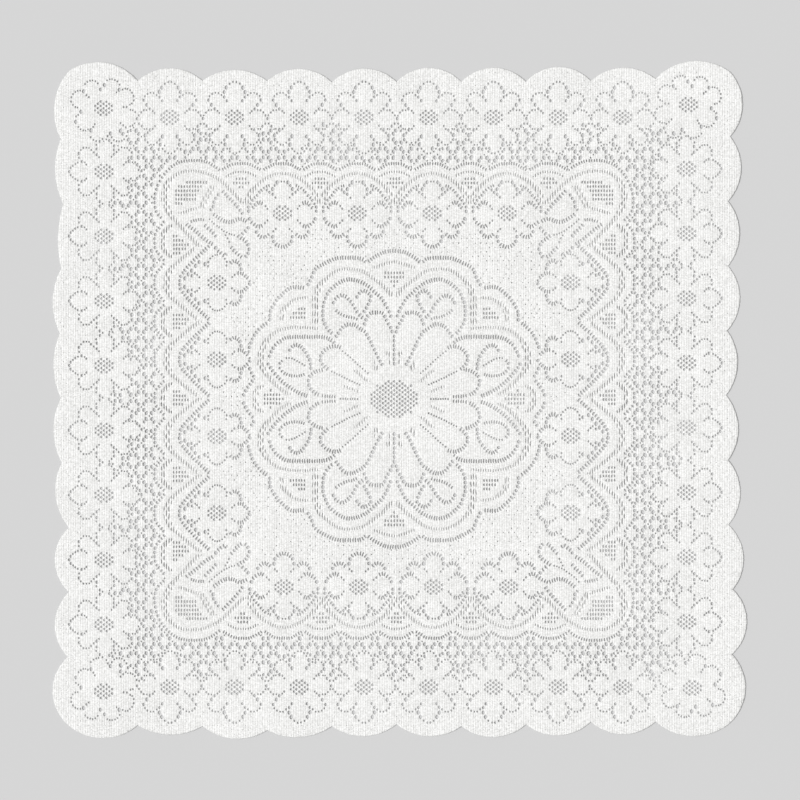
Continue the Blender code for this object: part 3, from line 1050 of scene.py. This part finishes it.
def in_border_flower(x, y, margin):
    """Whether a point lies within the petals of a border flower, or nearer to them than the margin."""
    for place in border_flowers:
        dx, dy = x - place["x"], y - place["y"]
        reach = math.hypot(dx, dy)
        if reach > PETAL_REACH + PETAL_SWELL + margin:
            continue
        lobe = math.cos(math.radians(PETALS * (math.degrees(math.atan2(dy, dx)) - place["turn"])))
        if reach < PETAL_REACH + PETAL_SWELL * lobe + margin:
            return True
    return False


def within_rows(x, y, inset):
    """Whether a point lies inside the four rows of border flowers by more than an inset."""
    if not inset - SIDES["left"]["row"] < x < SIDES["right"]["row"] - inset:
        return False
    return inset - SIDES["front"]["row"] < y < SIDES["back"]["row"] - inset


def in_net(x, y):
    """Whether a gap of the net may stand here."""
    if not within_rows(x, y, NET_INSET):
        return False
    return not in_border_flower(x, y, NET_MARGIN) and not inside(frame_outline, x, y)


for j in NET_LINES:
    for i in NET_COLUMNS:
        node_x = NET_START[0] + i * NET_ACROSS + (NET_ACROSS / 2 if j % 2 else 0)
        node_y = NET_START[1] + j * NET_ALONG
        for across in (-1, 1):
            for dx, dy in NET_RING:
                x, y = node_x + across * dx, node_y + dy
                if in_net(x, y):
                    add_gap(x, y, *NET_GAP, -NET_LEAN * across, LARGE_SIDES, NET_LEAST)
        if in_net(node_x, node_y + NET_ALONG):
            add_gap(node_x, node_y + NET_ALONG, *NET_PIN)


# Specks: where the ground is plain, the knit leaves a pinprick here and there on a staggered
# grid, plain to see between the frame and the rosette and fainter outside the border flowers.

# The grid: how far apart its places are, its columns and lines, and how far from the middle of
# the cloth the border's specks begin
SPECK_PITCH = (6.9, COURSE)
SPECK_COLUMNS = range(-65, 66)
SPECK_LINES = range(-80, 81)
BORDER_START = 300.0
# The specks: how likely one is at a place, its least and most width, and its length for its width
FIELD_SPECKS = {"chance": 0.5, "size": (0.9, 1.4)}
BORDER_SPECKS = {"chance": 0.5, "size": (0.5, 0.8)}
SPECK_LENGTH = 1.7
# How far the field reaches from the frame's middle, where the sprays cut off its corners, and how
# far a speck keeps from the middle of a frame flower, from a border flower and from the edge
FIELD_HALF = 212.0
FIELD_SPRAY = 172.0
FRAME_FLOWER_REACH = 40.0
FLOWER_MARGIN = 2.0
EDGE_MARGIN = 5.0

# The lobes that make up the rosette's outline, from the middle line round to the side
LOBES = (
    "small lobe on the middle line",
    "upper lobe",
    "small lobe on the diagonal",
    "side lobe",
    "small lobe on the side",
)
rosette_rows = {row["name"]: row for row in ROSETTE_ROWS}
rosette_outline = []
for number, way in enumerate(QUARTERS):
    quarter = []
    for name in LOBES:
        quarter += mirrored(rosette_rows[name], *ROSETTE_MIDDLE, *way)
    rosette_outline += quarter[::-1] if number % 2 else quarter


def in_field(x, y):
    """Whether a point lies in the plain field between the frame and the rosette."""
    dx, dy = abs(x - FRAME_MIDDLE[0]), abs(y - FRAME_MIDDLE[1])
    if max(dx, dy) > FIELD_HALF or min(dx, dy) > FIELD_SPRAY or inside(rosette_outline, x, y):
        return False
    return all(math.hypot(x - fx, y - fy) >= FRAME_FLOWER_REACH for fx, fy in frame_flowers)


def in_border_ground(x, y):
    """Whether a point lies between the border flowers and the edge."""
    if within_rows(x, y, 0.0) or in_border_flower(x, y, FLOWER_MARGIN) or not inside(edge, x, y):
        return False
    return edge_tree.find((x, y, 0))[2] > EDGE_MARGIN


def tree_of(points):
    """A search tree of points on the cloth."""
    tree = kdtree.KDTree(len(points))
    for i, (x, y) in enumerate(points):
        tree.insert((x, y, 0), i)
    tree.balance()
    return tree


edge_tree = tree_of(edge)
for j in SPECK_LINES:
    for i in SPECK_COLUMNS:
        x, y = (i + 0.5 * (j % 2)) * SPECK_PITCH[0], j * SPECK_PITCH[1]
        specks = FIELD_SPECKS if max(abs(x), abs(y)) < BORDER_START else BORDER_SPECKS
        wanted, size = chance.random() < specks["chance"], chance.uniform(*specks["size"])
        if wanted and (in_field(x, y) if specks is FIELD_SPECKS else in_border_ground(x, y)):
            add_gap(x, y, size, size * SPECK_LENGTH, sides=SPECK_SIDES, least=SPECK_LEAST)


# The sheet. The cloth is one knitted layer about a millimetre thick, thinner on the strands
# round the gaps than where it is dense, and it lies almost flat. One mesh of it would be too
# heavy, so it is made as nine panels that meet edge to edge and share one set of normals.

# How thick the knit is, and how much each face draws in at a rim
THICKNESS = 1.1
RIM_DROP = 0.2
# How far out from a rim the ring round it lies, and the least room there to the next rim
RIM_BAND = 0.85
RIM_ROOM = 0.45
# The even grid over the dense stretches: its step, and the least room to what is there already
GRID_STEP = 9.0
GRID_ROOM = 1.6
# The lines between the panels: their step, and how far they run past the cloth
SEAM_STEP = 8.0
SEAM_OVERRUN = 5.0
# What the triangulation gives back, which is the triangles inside an outline, and how near two
# points count as one
INSIDE_TRIANGLES = 1
POINT_ROOM = 1e-5
# The low ripples: how high, how long across and along the cloth, and where each starts
RIPPLES = (
    {"height": 0.14, "across": 190.0, "along": 310.0, "start": 0.4},
    {"height": 0.12, "across": -270.0, "along": 150.0, "start": 1.9},
    {"height": 0.08, "across": 120.0, "along": -230.0, "start": 4.2},
)
SEAMS_ACROSS = (-143.0, 143.0)
SEAMS_ALONG = (-139.0, 139.0)
PANELS = (
    ("lace_front_left", "lace_front", "lace_front_right"),
    ("lace_left", "lace_middle", "lace_right"),
    ("lace_back_left", "lace_back", "lace_back_right"),
)


def around(gap, spread):
    """Points round a gap, spread out from its rim."""
    points = []
    for k in range(gap["sides"]):
        angle = 2 * math.pi * (k + 0.5) / gap["sides"]
        along = (gap["along"] / 2 + spread) * math.cos(angle)
        across = (gap["across"] / 2 + spread) * math.sin(angle)
        cos, sin = math.cos(gap["turn"]), math.sin(gap["turn"])
        points.append((gap["x"] + along * cos - across * sin, gap["y"] + along * sin + across * cos))
    return points


def seam_line(seam, low, high, swapped):
    """Points along one seam, from a little before the cloth to a little past it."""
    count = int((high - low + 2 * SEAM_OVERRUN) / SEAM_STEP) + 2
    line = [(seam, low - SEAM_OVERRUN + k * SEAM_STEP) for k in range(count)]
    return [(y, x) for x, y in line] if swapped else line


# The rims of all gaps and the cloth's edge, then a ring of points round each gap where there is
# room, and an even grid over the dense stretches
sheet_points = list(edge)
rims = [list(range(len(edge)))]
for gap in gaps:
    rims.append(list(range(len(sheet_points), len(sheet_points) + gap["sides"])))
    sheet_points += around(gap, 0.0)
rim_count = len(sheet_points)
rim_tree = tree_of(sheet_points)
for gap in gaps:
    for x, y in around(gap, RIM_BAND):
        if rim_tree.find((x, y, 0))[2] > RIM_ROOM:
            sheet_points.append((x, y))
for (ax, ay), (bx, by) in zip(edge, edge[1:] + edge[:1]):
    long = math.hypot(bx - ax, by - ay)
    x, y = (ax + bx) / 2 + (by - ay) / long * RIM_BAND, (ay + by) / 2 - (bx - ax) / long * RIM_BAND
    if rim_tree.find((x, y, 0))[2] > RIM_ROOM:
        sheet_points.append((x, y))
ring_tree = tree_of(sheet_points)
low_x, low_y, high_x, high_y = edge_x.min(), edge_y.min(), edge_x.max(), edge_y.max()
for j in range(int((high_y - low_y) / GRID_STEP)):
    for i in range(int((high_x - low_x) / GRID_STEP)):
        x = low_x + (i + 0.5 + 0.5 * (j % 2)) * GRID_STEP
        y = low_y + (j + 0.5) * GRID_STEP
        if ring_tree.find((x, y, 0))[2] > GRID_ROOM:
            sheet_points.append((x, y))
seam_edges = []
seam_lines = [seam_line(seam, low_y, high_y, False) for seam in SEAMS_ACROSS]
seam_lines += [seam_line(seam, low_x, high_x, True) for seam in SEAMS_ALONG]
for line in seam_lines:
    first = len(sheet_points)
    sheet_points += line
    seam_edges += [(first + k, first + k + 1) for k in range(len(line) - 1)]

# One triangulation of the whole cloth, up to its edge. A triangle inside a gap carries the gap's
# number, and so is left out. The edge gives no number to those inside it, as it runs clockwise.
cut = delaunay_2d_cdt(
    [Vector(p) for p in sheet_points], seam_edges, rims, INSIDE_TRIANGLES, POINT_ROOM
)
flat = np.array([tuple(point) for point in cut[0]])
is_rim = np.array([not made or min(made) < rim_count for made in cut[3]])
sheet = np.array([face for face, made in zip(cut[2], cut[5]) if not made])


def ripple(x, y):
    """How far the underside lifts off the table."""
    lift = 0.0
    for wave in RIPPLES:
        phase = 2 * math.pi * (x / wave["across"] + y / wave["along"]) + wave["start"]
        lift = lift + wave["height"] * (1 + np.sin(phase))
    return lift


rest = ripple(flat[:, 0], flat[:, 1])
drop = np.where(is_rim, RIM_DROP, 0.0)
across, along = flat[:, 0] - EDGE_MIDDLE[0], flat[:, 1] - EDGE_MIDDLE[1]
top = np.column_stack([across, along, rest + THICKNESS - drop]) * MM
bottom = np.column_stack([across, along, rest + drop]) * MM
flat_count = len(flat)


def closed_slab(faces):
    """Upper triangles, lower triangles turned over, and a wall down every open edge between them."""
    ends = np.concatenate([faces[:, [0, 1]], faces[:, [1, 2]], faces[:, [2, 0]]])
    forward = ends[:, 0] * flat_count + ends[:, 1]
    backward = ends[:, 1] * flat_count + ends[:, 0]
    ends = ends[~np.isin(forward, backward)]
    walls = np.column_stack([ends + flat_count, ends[:, ::-1]])
    return faces.tolist() + (faces[:, ::-1] + flat_count).tolist() + walls.tolist()


def mesh_of(name, points, faces):
    """A mesh of only those points that its faces use, and the numbers of those points."""
    used = np.unique(np.concatenate([np.ravel(face) for face in faces]))
    place = np.zeros(len(points), int)
    place[used] = np.arange(len(used))
    mesh = bpy.data.meshes.new(name)
    mesh.from_pydata(points[used].tolist(), [], [place[face].tolist() for face in faces])
    mesh.polygons.foreach_set("use_smooth", [True] * len(mesh.polygons))
    mesh.update()
    return mesh, used


points = np.concatenate([top, bottom])
whole, whole_used = mesh_of("whole_cloth", points, closed_slab(sheet))
normals = np.zeros((len(points), 3))
found = np.empty(3 * len(whole.vertices), np.float32)
whole.vertex_normals.foreach_get("vector", found)
normals[whole_used] = found.reshape(-1, 3)
bpy.data.meshes.remove(whole)


# The knit's finish: matt bright white yarn, in fine ribs along the cloth. Light and shade are partly
# painted into its colour: each stitch's leg gets a painted glint, lighter or darker at random, and the
# valleys between the ribs are painted darker as painted shade. Besides that, the yarn is a little uneven in
# tone.

# The base colour at the two ends of the tone range. The range carries random tone in the yarn as well as
# painted glint and painted shade.
WHITE_YARN = (0.972, 0.970, 0.960, 1.0)
SHADED_YARN = (0.60, 0.599, 0.585, 1.0)
# How far apart the ribs are, the size of a stitch's leg, and how far the ribs sway
RIB_PITCH = 2.95
KNIT_SIZES = {
    "Rib Pitch": RIB_PITCH,
    "Stitch Width": RIB_PITCH / 2,
    "Stitch Height": 1.2,
    "Sway": 0.6,
}
# The noises, each with its waves to the metre and its detail: the sway of the ribs, the fuzz of
# the yarn, and the wide patches of tone
SWAY_NOISE = (60.0, 2.0)
FUZZ_NOISE = (1300.0, 1.0)
PATCH_NOISE = (14.0, 2.0)
# How much of the height and of the tone each thing makes
HEIGHT_SHARES = {"rib": 0.45, "fuzz": 0.3}
# In the tone, the stitch share is a painted glint and the rib share is painted shade in the valleys between
# the ribs
SHADE_SHARES = {"stitch": 0.5, "rib": 0.16, "fuzz": 0.35, "wale": 0.05, "patch": 0.2}
# The tones that come out as wholly shaded and wholly white, and how strong and high the relief is
TONE_RANGE = (0.1, 0.9)
RELIEF_STRENGTH = 0.5
RELIEF_HEIGHT = 0.25


def knit_group():
    """The height of the ribs and the tone of the stitches, with painted glint and painted shade in it, as a
    node group, by the place.
    """
    group = bpy.data.node_groups.new("warp_knit", "ShaderNodeTree")
    for name in KNIT_SIZES:
        group.interface.new_socket(name, in_out="INPUT", socket_type="NodeSocketFloat")
    for name in ("Height", "Shade"):
        group.interface.new_socket(name, in_out="OUTPUT", socket_type="NodeSocketFloat")
    nodes, links = group.nodes, group.links

    def maths(operation, first, second=None):
        made = nodes.new("ShaderNodeMath")
        made.operation = operation
        for socket, value in zip(made.inputs, (first, second)):
            if isinstance(value, (int, float)):
                socket.default_value = value
            elif value is not None:
                links.new(value, socket)
        return made.outputs[0]

    def noise(place, scale, detail):
        made = nodes.new("ShaderNodeTexNoise")
        made.inputs["Scale"].default_value = scale
        made.inputs["Detail"].default_value = detail
        links.new(place, made.inputs["Vector"])
        return made.outputs[0]

    def blend(values, shares):
        total, *others = [maths("MULTIPLY", values[name], share) for name, share in shares.items()]
        for part in others:
            total = maths("ADD", total, part)
        return total

    given = nodes.new("NodeGroupInput").outputs
    place = nodes.new("ShaderNodeTexCoord").outputs["Object"]
    apart = nodes.new("ShaderNodeSeparateXYZ")
    links.new(place, apart.inputs[0])
    uneven = maths("SUBTRACT", noise(place, *SWAY_NOISE), 0.5)
    sway = maths("MULTIPLY", uneven, given["Sway"])
    x, y = maths("ADD", apart.outputs["X"], sway), maths("ADD", apart.outputs["Y"], sway)
    phase = maths("MULTIPLY", maths("DIVIDE", x, given["Rib Pitch"]), 2 * math.pi)
    column = maths("FLOOR", maths("DIVIDE", x, given["Stitch Width"]))
    cell = nodes.new("ShaderNodeCombineXYZ")
    links.new(column, cell.inputs["X"])
    links.new(maths("FLOOR", maths("DIVIDE", y, given["Stitch Height"])), cell.inputs["Y"])
    # Each stitch's leg gets its own painted glint in the base colour, lighter or darker at random
    glint = nodes.new("ShaderNodeTexWhiteNoise")
    links.new(cell.outputs[0], glint.inputs["Vector"])
    wale = nodes.new("ShaderNodeTexWhiteNoise")
    wale.noise_dimensions = "1D"
    links.new(column, wale.inputs["W"])
    # The rib darkens the tone in its valleys as painted shade and lightens it on its crests, and the stitch
    # noise is a painted glint; fuzz, wale and patch are random tone of the yarn
    values = {
        "rib": maths("SINE", phase),
        "fuzz": noise(place, *FUZZ_NOISE),
        "stitch": glint.outputs["Value"],
        "wale": wale.outputs["Value"],
        "patch": noise(place, *PATCH_NOISE),
    }
    out = nodes.new("NodeGroupOutput")
    links.new(blend(values, HEIGHT_SHARES), out.inputs["Height"])
    links.new(blend(values, SHADE_SHARES), out.inputs["Shade"])
    return group


lace = bpy.data.materials.new("white_lace")
lace.use_nodes = True
nodes, links = lace.node_tree.nodes, lace.node_tree.links
surface = nodes["Principled BSDF"]
surface.inputs["Roughness"].default_value = 0.85
surface.inputs["Specular IOR Level"].default_value = 0.25
surface.inputs["Sheen Weight"].default_value = 0.15
surface.inputs["Sheen Roughness"].default_value = 0.5
knit = nodes.new("ShaderNodeGroup")
knit.node_tree = knit_group()
for name, size in KNIT_SIZES.items():
    knit.inputs[name].default_value = size * MM
tone = nodes.new("ShaderNodeMix")
tone.data_type = "RGBA"
tone.inputs["A"].default_value = SHADED_YARN
tone.inputs["B"].default_value = WHITE_YARN
spread = nodes.new("ShaderNodeMapRange")
spread.inputs["From Min"].default_value = TONE_RANGE[0]
spread.inputs["From Max"].default_value = TONE_RANGE[1]
links.new(knit.outputs["Shade"], spread.inputs["Value"])
links.new(spread.outputs["Result"], tone.inputs["Factor"])
links.new(tone.outputs["Result"], surface.inputs["Base Color"])
bump = nodes.new("ShaderNodeBump")
bump.inputs["Strength"].default_value = RELIEF_STRENGTH
bump.inputs["Distance"].default_value = RELIEF_HEIGHT * MM
links.new(knit.outputs["Height"], bump.inputs["Height"])
links.new(bump.outputs["Normal"], surface.inputs["Normal"])

# The panels: each takes the triangles whose middles lie between its seams, and its flat size is measured on
# the upper face, laid flat.
middles = flat[sheet].mean(axis=1)
columns = np.searchsorted(SEAMS_ACROSS, middles[:, 0])
lines = np.searchsorted(SEAMS_ALONG, middles[:, 1])
for line, names in enumerate(PANELS):
    for column, name in enumerate(names):
        faces = sheet[(lines == line) & (columns == column)]
        mesh, used = mesh_of(name, points, closed_slab(faces))
        mesh.normals_split_custom_set_from_vertices(normals[used].tolist())
        mesh.materials.append(lace)
        panel = bpy.data.objects.new(name, mesh)
        bpy.context.collection.objects.link(panel)
        corners = flat[faces] * MM
        size = [float(s) for s in np.ptp(corners.reshape(-1, 2), axis=0)]
        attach(panel, "root")
        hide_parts("lace_cloth")


# The table: a plain pale grey top, larger than anything the camera sees.

TABLE_HALF = 4.0
TABLE_GREY = (0.62, 0.62, 0.62, 1.0)

table_mesh = bpy.data.meshes.new("table_top")
table_corners = [(x * TABLE_HALF, y * TABLE_HALF, 0.0) for x, y in ((-1, -1), (1, -1), (1, 1), (-1, 1))]
table_mesh.from_pydata(table_corners, [], [(0, 1, 2, 3)])
table_top = bpy.data.objects.new("table_top", table_mesh)
bpy.context.collection.objects.link(table_top)
table_paint = bpy.data.materials.new("pale_table")
table_paint.use_nodes = True
paint = table_paint.node_tree.nodes["Principled BSDF"]
paint.inputs["Base Color"].default_value = TABLE_GREY
paint.inputs["Roughness"].default_value = 0.9
paint.inputs["Specular IOR Level"].default_value = 0.1
table_mesh.materials.append(table_paint)


# The light: a broad soft lamp from the left, and an even pale surround.

# In degrees: how wide the lamp looks from the cloth, and how it is tilted and turned
LAMP_ANGLE = 24.0
LAMP_TILT = 38.0
LAMP_TURN = 88.0
LAMP_STRENGTH = 2.28
SURROUND = 0.515

lamp = bpy.data.lights.new("soft_lamp", "SUN")
lamp.energy = LAMP_STRENGTH
lamp.angle = math.radians(LAMP_ANGLE)
lamp_holder = bpy.data.objects.new("soft_lamp", lamp)
lamp_holder.rotation_euler = (-math.radians(LAMP_TILT), 0.0, math.radians(LAMP_TURN))
bpy.context.collection.objects.link(lamp_holder)
surround = bpy.data.worlds.new("pale_surround")
surround.use_nodes = True
surround.node_tree.nodes["Background"].inputs["Color"].default_value = (1.0, 1.0, 1.0, 1.0)
surround.node_tree.nodes["Background"].inputs["Strength"].default_value = SURROUND
bpy.context.scene.world = surround
bpy.context.scene.view_settings.view_transform = "Standard"


# The camera: straight above, as in the photograph.

# The photo's side and the point that the pattern is laid out from, in pixels, and its scale
PHOTO_SIDE = 800
PHOTO_ORIGIN_X = 397
PHOTO_ORIGIN_Y = 401
MM_PER_PIXEL = 1.232
LENS = 180.0
SENSOR = 36.0

camera = bpy.data.cameras.new("camera")
camera.lens = LENS
camera.sensor_width = SENSOR
camera_holder = bpy.data.objects.new("camera", camera)
camera_holder.location = (
    ((PHOTO_SIDE / 2 - PHOTO_ORIGIN_X) * MM_PER_PIXEL - EDGE_MIDDLE[0]) * MM,
    ((PHOTO_ORIGIN_Y - PHOTO_SIDE / 2) * MM_PER_PIXEL - EDGE_MIDDLE[1]) * MM,
    PHOTO_SIDE * MM_PER_PIXEL * LENS / SENSOR * MM,
)
bpy.context.collection.objects.link(camera_holder)
bpy.context.scene.camera = camera_holder
